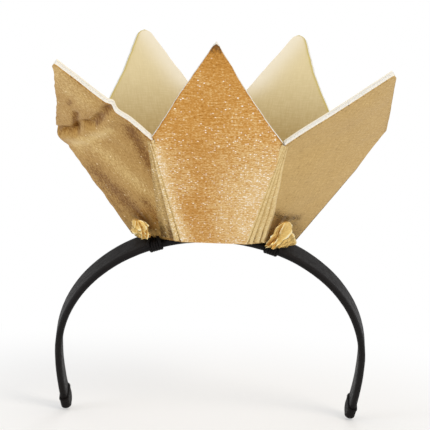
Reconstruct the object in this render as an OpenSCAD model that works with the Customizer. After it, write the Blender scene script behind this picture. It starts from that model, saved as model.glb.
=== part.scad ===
// Soft crown on a headband: five kite panels of gold lame, foam and lining, tied to a covered band.
// The origin is the centre of the band's arch. +Z is up along the crown, -Y is the front.

/* [Panels] */
// Width of a panel at its bottom edge
panel_base_w = 28; // [22:0.5:34]
// Width of a panel at its shoulders
panel_w = 54; // [46:0.5:62]
// Height of a panel from bottom edge to shoulders, along the cloth
shoulder_h = 60; // [50:1:70]
// Height of the free point above the shoulders, along the cloth
point_h = 44; // [34:1:56]
// Width left at the end of the front and side points
point_end_w = 2; // [1:0.1:4]
// Width left at the end of the back points, which are cut blunter
back_end_w = 6; // [2:0.5:8]
// How far the ends of the back points are set towards the sides
back_set = 3; // [0:0.5:5]
// Outward lean of every panel from the vertical, in degrees
lean = 38; // [32:0.5:42]
// How far the front point curls up, in degrees
front_curl = 16; // [0:1:22]
// How far the side points flare out, in degrees
side_flare = 9; // [0:1:16]
// How far the back points curl up, in degrees
back_curl = 3; // [0:1:16]
// Length of cloth over which a point bends
bend_length = 30; // [16:1:44]
// Turn of the two back panels from the front, in degrees
back_turn = 170; // [160:1:172]

/* [Laminate] */
// Thickness of the gold lame on the outside
skin_t = 0.5; // [0.3:0.05:0.8]
// Thickness of the foam in the middle
foam_t = 2; // [1.4:0.1:2.4]
// Thickness of the lining on the inside
lining_t = 0.5; // [0.3:0.05:0.8]
// Gap between the edges of two panels that are seamed together
seam_gap = 0.2; // [0.1:0.05:0.4]
// Height of the tape that joins the panels round the inside of their bottom edge
tape_h = 6; // [4:0.5:8]
// Thickness of that tape
tape_t = 0.8; // [0.5:0.1:1]

/* [Headband] */
// Radius of the arch, inside the cover, where it lies on the head
head_r = 66.5; // [62:0.5:72]
// Width of the covered band
band_w = 11; // [9:0.5:12]
// Thickness of the covered band
band_t = 3.2; // [2.6:0.1:3.6]
// Thickness of the cover's cloth
cover_t = 0.8; // [0.5:0.05:0.9]
// Radius of the legs below the arch
leg_r = 170; // [120:5:260]
// Length of each leg below the arch, with its end cap
leg_length = 35; // [24:1:46]
// Length of the end cap on each leg
cap_length = 8; // [6:0.5:10]
// Thickness of the end cap's doubled ribbon
cap_t = 0.5; // [0.3:0.05:0.8]
// Backward rake of the band from the vertical, in degrees
rake = 29; // [24:0.5:32]

/* [Ties] */
// Place of each lashing round the arch, from the top, in degrees
lash_angle = 21.5; // [19:0.5:24]
// Turns of ribbon in a lashing
lash_turns = 5; // [3:1:6]
// Thickness of one turn
lash_d = 1.3; // [0.9:0.1:1.6]
// Length of the gathered cloth above a lashing
gather_h = 10; // [7:0.5:12]
// Width across the top of the gathered cloth on the right, which is the fuller one
gather_w = 15.5; // [9:0.5:17]
// Width of the gathered cloth on the left, as a share of that on the right
left_gather_share = 0.8; // [0.6:0.05:1]
// How far the gathered cloth on the right sits outwards from the middle of its panel
gather_set = 3.5; // [0:0.5:4.5]
// The same on the left
left_gather_set = 6; // [0:0.5:6.5]
// Thickness of the gathered cloth at its fullest
gather_t = 5; // [3:0.5:6]
// Folds across the gathered cloth
gather_folds = 5; // [3:1:6]
// Depth of those folds, as a share of the bunch
fold_depth = 0.14; // [0.06:0.01:0.2]
// Width of a seam's pleats at the bottom edge
pleat_w = 11; // [6:0.5:11.5]
// Height of the pleats off the cloth, at the bottom edge
pleat_rise = 1.4; // [0.8:0.1:2]

/* [Fits] */
// Clearance between pieces that are sewn, tied or fitted face to face
fit_gap = 0.1; // [0.05:0.05:0.2]
// Clearance between the crown's tape and the band below it
band_gap = 0.3; // [0.2:0.05:0.6]

/* [Hidden] */

gold = "#c8a056";
champagne = "#e2d5a8";
cream = "#f0e7d0";
black = "#29282b";
grey = "#57585c";

$fn = 64;

// The laminate, counted inwards from the outer face
foam_in = skin_t;
lining_in = foam_in + foam_t;
panel_t = lining_in + lining_t;

// The side panels turn so that their front edges lie on the front panel's edges
side_turn = 2 * atan((panel_w - panel_base_w) / 2 / (shoulder_h * sin(lean)));
// Half the angle between the faces of two seamed panels, for their mitred edges
mitre = acos(pow(cos(lean), 2) * cos(side_turn) + pow(sin(lean), 2)) / 2;

// The band's outer radius, and the height of its outer face over a point of the plan
band_r = head_r + band_t;
function band_top(x, y) = sqrt(pow(band_r, 2) - x * x) / cos(rake) + y * tan(rake);

// The bottom edge in plan, from the front panel's left corner, anticlockwise from above
side_run = panel_base_w * [cos(side_turn), sin(side_turn)];
back_run = panel_base_w * [cos(back_turn), sin(back_turn)];
function mirrored(p) = [-p[0], p[1]];
corner_front = [panel_base_w / 2, 0];
corner_side = corner_front + side_run;
corner_back = corner_side + back_run;
base_plan = [mirrored(corner_front), corner_front, corner_side, corner_back,
    mirrored(corner_back), mirrored(corner_side)];

// The inner corner of a panel's cut bottom edge, inwards and upwards of the outer corner
edge_in = panel_t * cos(lean);
edge_up = panel_t * sin(lean);
tape_in = edge_in + fit_gap;

// The crown stands in front of the band's front edge, and its tape rests on the band
band_front_y = -band_r * sin(rake) - band_w / 2 * cos(rake);
crown_y = band_front_y - tape_in - tape_t - band_gap;
tape_in_side = (tape_in + tape_t) * [-sin(side_turn), cos(side_turn)];
function tape_foot(s) = corner_front + s * side_run + tape_in_side + [0, crown_y];
tape_z = band_gap + max([for (s = [0.2 : 0.1 : 0.9]) band_top(tape_foot(s)[0], tape_foot(s)[1])]);
crown_z = tape_z - edge_up;

// Half the width of a panel at a distance v along the cloth, with the corners of its end rounded
end_round = 0.4;
function end_r(end_w) = end_round * end_w;
function past_shoulder(v) = max(v - shoulder_h, 0) / point_h;
function half_w(v, end_w = point_end_w) = v <= shoulder_h
    ? panel_base_w / 2 + (panel_w - panel_base_w) / 2 * v / shoulder_h
    : let (r = end_r(end_w), over = max(v - shoulder_h - point_h + r, 0))
        panel_w / 2 - (panel_w - end_w) / 2 * past_shoulder(v) - r + sqrt(max(r * r - over * over, 0));

// Lean of the cloth at v, where the point is bent by some angle past the shoulders
function smooth(t) = let (c = min(max(t, 0), 1)) c * c * (3 - 2 * c);
function lean_at(v, bend) = lean + bend * smooth((v - shoulder_h) / bend_length + 0.5);

// Places along the cloth where a panel has a row of points: to the shoulders, up the point, round its end
lower_rows = 6;
upper_rows = 8;
end_rows = 3;
function panel_rows(end_w) = [each [for (i = [0 : lower_rows]) shoulder_h * i / lower_rows],
    each [for (i = [1 : upper_rows]) shoulder_h + (point_h - end_r(end_w)) * i / upper_rows],
    each [for (i = [1 : end_rows]) shoulder_h + point_h - end_r(end_w) * (1 - sin(90 * i / end_rows))]];

// Outward and upward reach of the outer face at each row
function step(rows, i, bend) = let (a = lean_at((rows[i] + rows[i + 1]) / 2, bend))
    (rows[i + 1] - rows[i]) * [sin(a), cos(a)];
function reach(rows, bend) = [for (i = 0, p = [0, 0]; i < len(rows);
    p = i + 1 < len(rows) ? p + step(rows, i, bend) : p, i = i + 1) p];

// A point of a panel: u across, a reach p along the cloth, d inwards from the outer face at lean a
function panel_point(u, p, d, a) = [u, -p[0] + d * cos(a), p[1] + d * sin(a)];

// A closed solid through a row of rings of points
module loft(rings) {
    n = len(rings[0]);
    last = len(rings) - 1;
    polyhedron(
        points = [for (ring = rings) each ring],
        faces = concat(
            [[for (i = [0 : n - 1]) i]],
            [for (k = [0 : last - 1], i = [0 : n - 1]) let (low = k * n, high = low + n, j = (i + 1) % n)
                each [[low + i, high + i, high + j], [low + i, high + j, low + j]]],
            [[for (i = [n - 1 : -1 : 0]) last * n + i]]
        )
    );
}

// One layer of a panel, from depth d0 to depth d1, with edges mitred for the seams; its end has some width
// and is set to one side
least_share = 0.1;
module panel_layer(bend, d0, d1, end_w, set) {
    rows = panel_rows(end_w);
    spine = reach(rows, bend);
    loft([for (i = [0 : len(rows) - 1])
        let (a = lean_at(rows[i], bend), c = set * past_shoulder(rows[i]),
            w = half_w(rows[i], end_w) - seam_gap / 2, least = least_share * end_w,
            w0 = max(w - d0 * tan(mitre), least), w1 = max(w - d1 * tan(mitre), least))
        [panel_point(c - w0, spine[i], d0, a), panel_point(c + w0, spine[i], d0, a),
            panel_point(c + w1, spine[i], d1, a), panel_point(c - w1, spine[i], d1, a)]]);
}

// Puts children drawn for the front panel on the panel with that bottom edge and turn
module on_edge(middle, turn) {
    translate([middle[0], middle[1] + crown_y, crown_z]) rotate([0, 0, turn]) children();
}
module on_front() { on_edge([0, 0], 0) children(); }
module on_right() { on_edge(corner_front + side_run / 2, side_turn) children(); }
module on_back_right() { on_edge(corner_side + back_run / 2, back_turn) children(); }
module on_left() { mirror([1, 0, 0]) on_right() children(); }
module on_back_left() { mirror([1, 0, 0]) on_back_right() children(); }

module skin(bend, end_w = point_end_w, set = 0) {
    color(gold) panel_layer(bend, 0, foam_in, end_w, set);
}
module foam(bend, end_w = point_end_w, set = 0) {
    color(cream) panel_layer(bend, foam_in, lining_in, end_w, set);
}
module lining(bend, end_w = point_end_w, set = 0) {
    color(champagne) panel_layer(bend, lining_in, panel_t, end_w, set);
}

// A plan outline moved inwards by d on every side
function unit(v) = v / norm(v);
function inset_corner(a, b, c, d) =
    let (e = unit(b - a), f = unit(c - b), m = unit([-e[1] - f[1], e[0] + f[0]]))
    b + m * d / (m * [-e[1], e[0]]);
function inset(plan, d) = let (n = len(plan))
    [for (i = [0 : n - 1]) inset_corner(plan[(i + n - 1) % n], plan[i], plan[(i + 1) % n], d)];

// The tape stands on the band inside the bottom edges and holds all five panels together
module base_tape() {
    color(gold) translate([0, crown_y, tape_z]) linear_extrude(tape_h) difference() {
        polygon(inset(base_plan, tape_in));
        polygon(inset(base_plan, tape_in + tape_t));
    }
}

// Two soft folds of spare lame that lie on a side panel along its front seam
pleat_rows = 8;
pleat_start = 1.5;
pleat_end_share = 0.2;
pleat_profile = [[0, 0], [0.22, 1], [0.46, 0.25], [0.72, 0.8], [1, 0]];
module seam_pleats() {
    color(gold) loft([for (i = [0 : pleat_rows])
        let (v = pleat_start + (shoulder_h - 2 * pleat_start) * i / pleat_rows,
            left = 1 - (1 - pleat_end_share) * i / pleat_rows,
            p = v * [sin(lean), cos(lean)])
        [for (q = pleat_profile) panel_point(seam_gap - half_w(v) + q[0] * pleat_w * left, p,
            -fit_gap / 2 - q[1] * pleat_rise * left, lean)]]);
}

// The band's section: flat faces and full round edges, from the middle of its inner face
module band_section(w, t, middle) {
    translate([middle, 0]) {
        square([t, w - t], center = true);
        for (side = [-1, 1]) translate([0, side * (w - t) / 2]) circle(d = t);
    }
}
band_middle = head_r + band_t / 2;
core_w = band_w - 2 * cover_t;
core_t = band_t - 2 * cover_t;
leg_middle = leg_r + band_t / 2;

// Sweeps a section round the arch from one angle to another, counted from the top
module round_arch(from, to) {
    rotate([rake, 0, 0]) rotate([-90, 0, 0]) rotate([0, 0, from - 90])
        rotate_extrude(angle = to - from) children();
}

// Sweeps a section down the right leg between two lengths, counted from the arch's end
function leg_turn(length) = length / leg_middle * 180 / PI;
module on_leg(length) {
    rotate([rake, 0, 0]) translate([head_r, 0, 0]) translate([-leg_r, 0, 0])
        rotate([0, leg_turn(length), 0]) children();
}
module down_leg(from, to) {
    on_leg(from) rotate([-90, 0, 0]) rotate_extrude(angle = leg_turn(to - from)) children();
}

// The same, down to the leg's end or short of it, where an arc takes off the corners
cap_w = band_w + 2 * cap_t;
corner_share = 0.62;
corner_r = corner_share * cap_w;
mask_w = cap_w + band_t;
mask_depth = 6 * band_t;
mask_length = leg_length + cap_w;
module down_to_end(from, short) {
    intersection() {
        down_leg(from, leg_length - short) children();
        on_leg(leg_length) translate([leg_middle, 0, 0]) rotate([0, 90, 0])
            linear_extrude(mask_depth, center = true) {
                translate([-corner_r, 0]) circle(corner_r - short);
                translate([-mask_length, -mask_w / 2]) square([mask_length - corner_r, mask_w]);
            }
    }
}
module both_legs() {
    children();
    mirror([1, 0, 0]) children();
}

module band_form(w, t) {
    round_arch(-90, 90) band_section(w, t, band_middle);
    both_legs() down_to_end(0, cap_t) band_section(w, t, leg_middle);
}
module band_core() { color(grey) band_form(core_w, core_t); }
module band_cover() {
    color(black) difference() {
        band_form(band_w, band_t);
        band_form(core_w, core_t);
    }
}

// A cap of doubled ribbon, drawn over the end of a leg
module end_cap() {
    color(black) difference() {
        down_to_end(leg_length - cap_length, 0) band_section(cap_w, band_t + 2 * cap_t, leg_middle);
        down_to_end(leg_length - 2 * cap_length, cap_t) band_section(band_w, band_t, leg_middle);
    }
}

// Turns of black ribbon round the covered band, side by side and just clear of each other on the inside
lash_pitch = (lash_d + fit_gap) / (head_r - lash_d) * 180 / PI;
lash_ring = lash_d / 2 + fit_gap / 2;
module lash_turn() {
    flat = band_w - band_t;
    loop_r = band_t / 2 + lash_ring;
    for (side = [-1, 1]) {
        translate([0, 0, side * loop_r]) rotate([90, 0, 0]) cylinder(d = lash_d, h = flat, center = true);
        translate([0, side * flat / 2, 0]) rotate([0, -90, 0]) rotate([0, 0, side < 0 ? 180 : 0])
            rotate_extrude(angle = 180) translate([loop_r, 0]) circle(d = lash_d);
    }
}
module lashing() {
    color(black) for (i = [0 : lash_turns - 1])
        rotate([rake, 0, 0]) rotate([0, lash_angle + (i - (lash_turns - 1) / 2) * lash_pitch, 0])
            translate([0, 0, band_middle]) lash_turn();
}

// Lame drawn together in folds where a side panel is tied down to the band: narrow and tight at the
// tie, then fuller, and rounded over at the top
gather_rows = 12;
points_per_fold = 10;
gather_points = points_per_fold * gather_folds;
gather_foot = 1;
gather_neck = 0.4;
gather_round = 0.65;
gather_end = 1.02;
function gather_share(t) = (gather_neck + (1 - gather_neck) * smooth(t / gather_round))
    * (t < gather_round ? 1 : sqrt(1 - pow((t - gather_round) / (gather_end - gather_round), 2)));
function fold_wave(turn) = 1 + fold_depth * cos(2 * gather_folds * turn);
module gather(w = gather_w, set = gather_set) {
    lift = gather_t / 2 * (1 + fold_depth) + fit_gap;
    color(gold) loft([for (i = [0 : gather_rows])
        let (t = i / gather_rows, share = gather_share(t),
            p = (gather_foot + gather_h * t) * [sin(lean), cos(lean)])
        [for (k = [0 : gather_points - 1])
            let (turn = 360 * k / gather_points, r = share * fold_wave(turn) / 2)
            panel_point(set + w * r * cos(turn), p, gather_t * r * sin(turn) - lift, lean)]]);
}

on_front() skin(-front_curl);  // front_panel_skin
on_front() foam(-front_curl);  // front_panel_foam
on_front() lining(-front_curl);  // front_panel_lining
on_left() skin(side_flare);  // left_panel_skin
on_left() foam(side_flare);  // left_panel_foam
on_left() lining(side_flare);  // left_panel_lining
on_right() skin(side_flare);  // right_panel_skin
on_right() foam(side_flare);  // right_panel_foam
on_right() lining(side_flare);  // right_panel_lining
on_back_left() skin(-back_curl, back_end_w, -back_set);  // back_left_panel_skin
on_back_left() foam(-back_curl, back_end_w, -back_set);  // back_left_panel_foam
on_back_left() lining(-back_curl, back_end_w, -back_set);  // back_left_panel_lining
on_back_right() skin(-back_curl, back_end_w, -back_set);  // back_right_panel_skin
on_back_right() foam(-back_curl, back_end_w, -back_set);  // back_right_panel_foam
on_back_right() lining(-back_curl, back_end_w, -back_set);  // back_right_panel_lining
base_tape();
on_left() seam_pleats();  // left_seam_pleats
on_right() seam_pleats();  // right_seam_pleats
on_left() gather(gather_w * left_gather_share, left_gather_set);  // left_gather
on_right() gather();  // right_gather
mirror([1, 0, 0]) lashing();  // left_lashing
lashing();  // right_lashing
band_core();
band_cover();
mirror([1, 0, 0]) end_cap();  // left_end_cap
end_cap();  // right_end_cap
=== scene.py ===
# %% [markdown]
# # A gold petal crown on a covered headband
# Five kite-shaped petals stand on a black headband. Each petal is a sandwich with raw-cut edges: gold lame outside,
# soft foam in the middle and a champagne lining inside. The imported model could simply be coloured, but its solids have
# flat faces and sharp corners, and cloth has neither. So the solids are kept as a guide to where everything is, and
# this lesson lays soft, finished meshes in their places.

import math
from types import SimpleNamespace

import bmesh
import bpy
import numpy as np
from mathutils import Matrix, Vector, noise


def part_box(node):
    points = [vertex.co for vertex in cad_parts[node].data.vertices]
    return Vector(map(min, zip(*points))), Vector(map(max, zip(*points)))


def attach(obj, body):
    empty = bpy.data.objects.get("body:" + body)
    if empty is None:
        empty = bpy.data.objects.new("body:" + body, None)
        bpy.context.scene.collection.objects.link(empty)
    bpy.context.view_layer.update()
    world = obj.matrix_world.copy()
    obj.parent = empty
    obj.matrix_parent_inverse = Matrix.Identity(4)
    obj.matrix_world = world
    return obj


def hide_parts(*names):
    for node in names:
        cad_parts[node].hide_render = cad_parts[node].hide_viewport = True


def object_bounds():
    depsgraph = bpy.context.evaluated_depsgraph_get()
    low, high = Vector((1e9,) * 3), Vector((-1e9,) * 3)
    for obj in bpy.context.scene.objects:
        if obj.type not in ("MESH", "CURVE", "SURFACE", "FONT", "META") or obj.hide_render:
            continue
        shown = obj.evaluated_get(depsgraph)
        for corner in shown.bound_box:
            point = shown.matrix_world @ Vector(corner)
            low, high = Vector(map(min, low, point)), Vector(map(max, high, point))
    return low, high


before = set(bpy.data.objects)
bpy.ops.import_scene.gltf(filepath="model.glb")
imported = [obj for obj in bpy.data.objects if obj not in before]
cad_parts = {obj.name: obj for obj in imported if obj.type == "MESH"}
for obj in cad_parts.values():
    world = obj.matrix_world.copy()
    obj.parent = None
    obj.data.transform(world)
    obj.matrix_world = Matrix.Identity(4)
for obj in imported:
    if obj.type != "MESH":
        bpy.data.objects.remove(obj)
cad_low, cad_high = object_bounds()
MM = 0.001
print("nodes:", len(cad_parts), "size in mm:", [round((b - a) / MM, 1) for a, b in zip(cad_low, cad_high)])

# %% [markdown]
# ## Reading a petal from its solid
# Cloth needs a grid that follows it: one direction across the petal and one up along it. The outline could be typed in
# again as numbers, but then two files would have to agree. The solid of each layer already holds rows of four corner
# points, so the rows are read back from its mesh, and every finer point is worked out between them.

# %% Points of a solid


def node_points(node):
    """The corner points of a solid, each once."""
    points = np.array([v.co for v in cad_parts[node].data.vertices], float)
    return np.unique(np.round(points, 6), axis=0)


print("corner points of the front petal's skin:", len(node_points("front_panel_skin")))

# %% Rows of a petal's layer
ROWS_READ = 14             # rows of four points below a petal's rounded end
POINT_HALF = 0.15 * MM     # half width that is left at the very end
crown_middle = np.array(sum(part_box("base_tape"), Vector())) / 2


def petal_frame(layer, points):
    """Points as across, outwards and up from the middle of a layer's bottom edge."""
    rel = points - layer.middle
    return np.stack([rel @ layer.across, rel @ layer.out, rel[:, 2]], axis=1)


def read_layer(node):
    """A layer's place, and for each row its half width, side shift, reach and length along the cloth."""
    points = node_points(node)
    points = points[np.argsort(points[:, 2])]
    layer = SimpleNamespace(middle=points[:2].mean(axis=0))
    across = (points[1] - points[0]) / np.linalg.norm(points[1] - points[0])
    out = np.array([across[1], -across[0], 0.0])
    side = 1.0 if out @ (layer.middle - crown_middle) > 0 else -1.0
    layer.across, layer.out = side * across, side * out
    placed = petal_frame(layer, points)
    rows = placed[:4 * ROWS_READ].reshape(ROWS_READ, 2, 2, 3)     # row, outer or inner face, two sides
    half, centre = np.ptp(rows[..., 0], axis=2) / 2, rows[..., 0].mean(axis=2)
    spot = rows[..., 1:].mean(axis=2)
    # the point runs straight on from the last two rows to its end
    last = spot[-1, 0] - spot[-2, 0]
    ahead = ((placed[:, 1:] - spot[-1, 0]) @ last).max() / (last @ last)
    layer.half = np.vstack([half, np.maximum(half[-1] + (half[-1] - half[-2]) * ahead, POINT_HALF)])
    layer.centre = np.vstack([centre, centre[-1] + (centre[-1] - centre[-2]) * ahead])
    layer.spot = np.concatenate([spot, [spot[-1] + last * ahead]])
    steps = np.linalg.norm(np.diff(layer.spot[:, 0], axis=0), axis=1)
    layer.cloth = np.concatenate([[0.0], np.cumsum(steps)])
    return layer


PETALS = ["front", "left", "right", "back_left", "back_right"]
skins = {petal: read_layer(f"{petal}_panel_skin") for petal in PETALS}
front = skins["front"]
cloth_length = front.cloth[-1]
shoulder = float(front.cloth[np.argmax(front.half[:, 0])])
print("cloth in mm:", round(cloth_length / MM, 1), "up to the shoulder:", round(shoulder / MM, 1))

# %% Any place on a layer
UP = np.array([0.0, 0.0, 1.0])
SLOPE_STEP = 0.5 * MM     # half the length over which a slope is measured


def spine(layer, v, face=0):
    """Outward and upward reach of the outer (0) or inner (1) face at v along the cloth, smooth between rows."""
    xs, ys = layer.cloth, layer.spot[:, face]
    slope = np.gradient(ys, xs, axis=0)
    i = int(np.clip(np.searchsorted(xs, v, side="right") - 1, 0, len(xs) - 2))
    h = xs[i + 1] - xs[i]
    t = (v - xs[i]) / h
    return ((1 + 2 * t) * (1 - t) ** 2 * ys[i] + t * (1 - t) ** 2 * h * slope[i]
            + t * t * (3 - 2 * t) * ys[i + 1] + t * t * (t - 1) * h * slope[i + 1])


def half_width(layer, v, face=0):
    return float(np.interp(v, layer.cloth, layer.half[:, face]))


def cloth_row(layer, v, face=0):
    """Middle point and outward normal of the cloth at v."""
    low, high = max(v - SLOPE_STEP, 0.0), min(v + SLOPE_STEP, layer.cloth[-1])
    lean, climb = spine(layer, high) - spine(layer, low)
    length = math.hypot(lean, climb)
    normal = layer.out * (climb / length) - UP * (lean / length)
    reach, rise = spine(layer, v, face)
    side = float(np.interp(v, layer.cloth, layer.centre[:, face]))
    return layer.middle + layer.across * side + layer.out * reach + UP * rise, normal


print("front petal's shoulder is at, in mm:", np.round(cloth_row(front, shoulder)[0] / MM, 1))

# %% [markdown]
# ## Camera
# The photograph was taken from a little above the crown's level with a long lens. A camera can be placed by eye, but a
# few degrees already change the petals' outlines. Here height, roll and scale come from fitting the petals' corners to
# the picture, so that render and picture can be laid over each other. The whole headband is in the frame too.

# %% Camera at the photograph's view
IMAGE_PX = 430
SENSOR_MM = 36
MM_PER_PX = 0.433                           # at the crown
CAMERA_DISTANCE = 0.9
CAMERA_ELEVATION = math.radians(6.3)
CAMERA_ROLL = math.radians(2.1)
CROWN_PX = Vector((218.1, 133.2))           # where the crown's middle is in the picture
CROWN_BACK, CROWN_UP = 20 * MM, 45 * MM     # the crown's middle, from the front petal's bottom edge

crown_point = Vector(front.middle) + Vector((0, CROWN_BACK, CROWN_UP))
toward_camera = Vector((0, -math.cos(CAMERA_ELEVATION), math.sin(CAMERA_ELEVATION)))
camera_place = crown_point + toward_camera * CAMERA_DISTANCE
roll = Matrix.Rotation(CAMERA_ROLL, 3, "Z")
level = (-toward_camera).to_track_quat("-Z", "Y").to_matrix() @ roll
off_centre = (CROWN_PX - Vector((IMAGE_PX / 2, IMAGE_PX / 2))) * MM_PER_PX * MM
aim = crown_point - level.col[0] * off_centre.x + level.col[1] * off_centre.y
aimed = (aim - camera_place).to_track_quat("-Z", "Y").to_matrix() @ roll

camera = bpy.data.objects.new("camera", bpy.data.cameras.new("camera"))
bpy.context.scene.collection.objects.link(camera)
camera.matrix_world = Matrix.Translation(camera_place) @ aimed.to_4x4()
camera.data.sensor_width = SENSOR_MM
camera.data.lens = CAMERA_DISTANCE / MM / MM_PER_PX / IMAGE_PX * SENSOR_MM
bpy.context.scene.camera = camera
print("lens in mm:", round(camera.data.lens, 1))

# %% [markdown]
# ## Colours and nodes
# A material is a small net of nodes. Nodes can be drawn by hand in the shader editor; written down, they can be read
# and repeated. One function adds any node, and one turns a colour as it looks on a screen into the linear numbers that
# Blender's sockets take.

# %% Colours, and one function for nodes


def linear(hex_colour):
    """An sRGB hex value as a linear colour."""
    parts = [int(hex_colour[i:i + 2], 16) / 255 for i in (1, 3, 5)]
    return tuple(c / 12.92 if c <= 0.04045 else ((c + 0.055) / 1.055) ** 2.4 for c in parts) + (1.0,)


def add(tree, kind, *values, **named):
    """Adds a node. Values fill its open inputs in order, and names with a capital letter fill them by name.

    A socket is linked, a node is linked from its first open output, and anything else is set. Names in small letters
    are the node's own settings."""
    made = tree.nodes.new("ShaderNode" + kind)
    for key in [key for key in named if key.islower()]:
        setattr(made, key, named.pop(key))
    fills = list(zip([socket for socket in made.inputs if socket.enabled], values))
    fills += [(made.inputs[key.replace("_", " ")], value) for key, value in named.items()]
    for socket, value in fills:
        if isinstance(value, bpy.types.Node):
            value = next(out for out in value.outputs if out.enabled)
        if isinstance(value, bpy.types.NodeSocket):
            tree.links.new(value, socket)
        else:
            socket.default_value = value
    return made


def new_material(name):
    """An empty material and its tree of nodes."""
    material = bpy.data.materials.new(name)
    material.use_nodes = True
    material.node_tree.nodes.clear()
    return material, material.node_tree


print("mid grey on screen is, as a linear value:", round(linear("#808080")[0], 3))

# %% [markdown]
# ## Stage and light
# The crown stands on white paper in a white room. A bright world alone would light it evenly and drown every fold, so
# the world gives half the light and three large soft lamps give the folds their shading. What the camera and the shiny
# cloth see of the world is plain white all the same.

# %% White surround
WORLD_LIGHT = 0.5
WHITE = linear("#ffffff")
scene = bpy.context.scene
scene.view_settings.view_transform = "Standard"
world = bpy.data.worlds.new("white_studio")
scene.world = world
world.use_nodes = True
sky = world.node_tree
sky.nodes.clear()
rays = add(sky, "LightPath").outputs
seen = add(sky, "Math", rays["Is Camera Ray"], rays["Is Glossy Ray"], operation="MAXIMUM")
seen = add(sky, "Math", seen, rays["Is Transmission Ray"], operation="MAXIMUM")
strength = add(sky, "MapRange", seen, 0.0, 1.0, WORLD_LIGHT, 1.0)
add(sky, "OutputWorld", add(sky, "Background", WHITE, strength))
print("world nodes:", len(sky.nodes))

# %% Paper floor
FLOOR_HALF, FLOOR_GAP = 3.0, 0.2 * MM
PAPER_FADE = (0.06, 0.22)     # between these distances the paper runs out into the white surround
PAPER_WHITE = 0.4             # how far it is that white already under the band
SMOOTH = {"interpolation_type": "SMOOTHSTEP"}     # settings of a range with soft ends

floor_z = cad_low.z - FLOOR_GAP
corners = [(x * FLOOR_HALF, y * FLOOR_HALF, floor_z) for x, y in ((-1, -1), (1, -1), (1, 1), (-1, 1))]
floor_mesh = bpy.data.meshes.new("floor")
floor_mesh.from_pydata(corners, [], [(0, 1, 2, 3)])
floor = bpy.data.objects.new("floor", floor_mesh)
scene.collection.objects.link(floor)

# matt paper scatters light evenly: it shows no shine, and keeps a soft shadow under the band
paper, tree = new_material("matt_white_paper")
away = add(tree, "VectorMath", add(tree, "NewGeometry"), (0, 0, floor_z), operation="DISTANCE")
fade = add(tree, "MapRange", away, *PAPER_FADE, PAPER_WHITE, **SMOOTH)
sheet = add(tree, "BsdfPrincipled", Base_Color=linear("#f4f3f1"), Roughness=0.9)
add(tree, "OutputMaterial", add(tree, "MixShader", fade, sheet, add(tree, "Emission", WHITE, 1.0)))
floor_mesh.materials.append(paper)
print("floor at mm:", round(floor_z / MM, 2))

# %% Three soft lamps
LAMPS = {  # place and width in metres, watts, colour
    "key_lamp": ((0.55, -0.85, 0.75), 0.5, 7.0, "#fff6ea"),
    "fill_lamp": ((-0.8, -0.5, 0.35), 0.6, 2.6, "#f4f7ff"),
    "rim_lamp": ((0.1, 0.9, 0.7), 0.5, 3.0, "#ffffff"),
}
for name, (place, width, watts, colour) in LAMPS.items():
    light = bpy.data.lights.new(name, "AREA")
    light.shape, light.size, light.energy, light.color = "DISK", width, watts, linear(colour)[:3]
    lamp = bpy.data.objects.new(name, light)
    scene.collection.objects.link(lamp)
    lamp.location = place
    lamp.rotation_mode = "QUATERNION"
    lamp.rotation_quaternion = (crown_point - Vector(place)).to_track_quat("-Z", "Y")

# %% [markdown]
# ## Petals
# A petal isn't flat: the foam makes it swell a little, the cloth has faint ripples, and the left one has been folded
# over once, which left a crooked crease. A cloth simulation gives soft folds but not a crease on a chosen line. So a
# function gives the lift at every place of the cloth, across (u) and along (v). All three layers use the same lift,
# which keeps them in contact, and it dies out at the seams, where a petal is sewn to its neighbour.

# %% The left petal's crease
CREASE_DEPTH = 2.2 * MM
CREASE_LINE = np.array([(24, 84), (13, 78), (0, 67.5), (-7, 66), (-14, 61), (-26, 59.5)]) * MM     # across, along
BRANCH_LINE = np.array([(-7, 73), (-14, 61)]) * MM
VALLEY = (0.5 * MM, 1.7 * MM)        # height above the line, and half width
RIDGE = (-3.6 * MM, 3.2 * MM, 0.5)   # the swelling under it: height, half width and share of the depth
BRANCH = (1.3 * MM, 0.45)            # half width, and share of the depth
CRUMPLE = (5 * MM, 0.75, 0.5)        # the valley's deep and shallow places: length, mean depth, change
CREASE_START = (0.45, 0.1, 0.2)      # share of the depth at the outer end, and where it grows to the whole


def soft_step(x):
    """0 below 0, 1 above 1, and a smooth rise between."""
    x = min(max(x, 0.0), 1.0)
    return x * x * (3 - 2 * x)


def bell(x, half):
    """1 at x = 0, falling off on both sides over the half width."""
    return math.exp(-(x / half) ** 2)


def off_line(u, v, line):
    """Distance from a broken line, positive above it, and how far along it the nearest point is, from 0 to 1."""
    best, at = None, np.array([u, v])
    for k, (a, b) in enumerate(zip(line[:-1], line[1:])):
        run = b - a
        share = min(max((at - a) @ run / (run @ run), 0.0), 1.0)
        gap = at - a - share * run
        reach = math.copysign(math.hypot(*gap), run[1] * gap[0] - run[0] * gap[1])
        if best is None or abs(reach) < abs(best[0]):
            best = reach, (k + share) / (len(line) - 1)
    return best


def crease(u, v):
    """A sharp valley along a broken line, with a swelling under it and a short side branch."""
    above, along = off_line(u, v, CREASE_LINE)
    size, mean, change = CRUMPLE
    deep = mean + change * noise.noise(Vector((u / size, v / size, 2.0)))
    valley = deep * bell(above - VALLEY[0], VALLEY[1])
    ridge = RIDGE[2] * bell(above - RIDGE[0], RIDGE[1])
    branch, share = off_line(u, v, BRANCH_LINE)
    fold = BRANCH[1] * bell(branch, BRANCH[0]) * (1 - 0.5 * share)
    least, start, over = CREASE_START
    return CREASE_DEPTH * (ridge - valley - fold) * (least + (1 - least) * soft_step((along - start) / over))


print("crease in mm, at its line:", round(crease(0.0, 67.5 * MM) / MM, 2))

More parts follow.
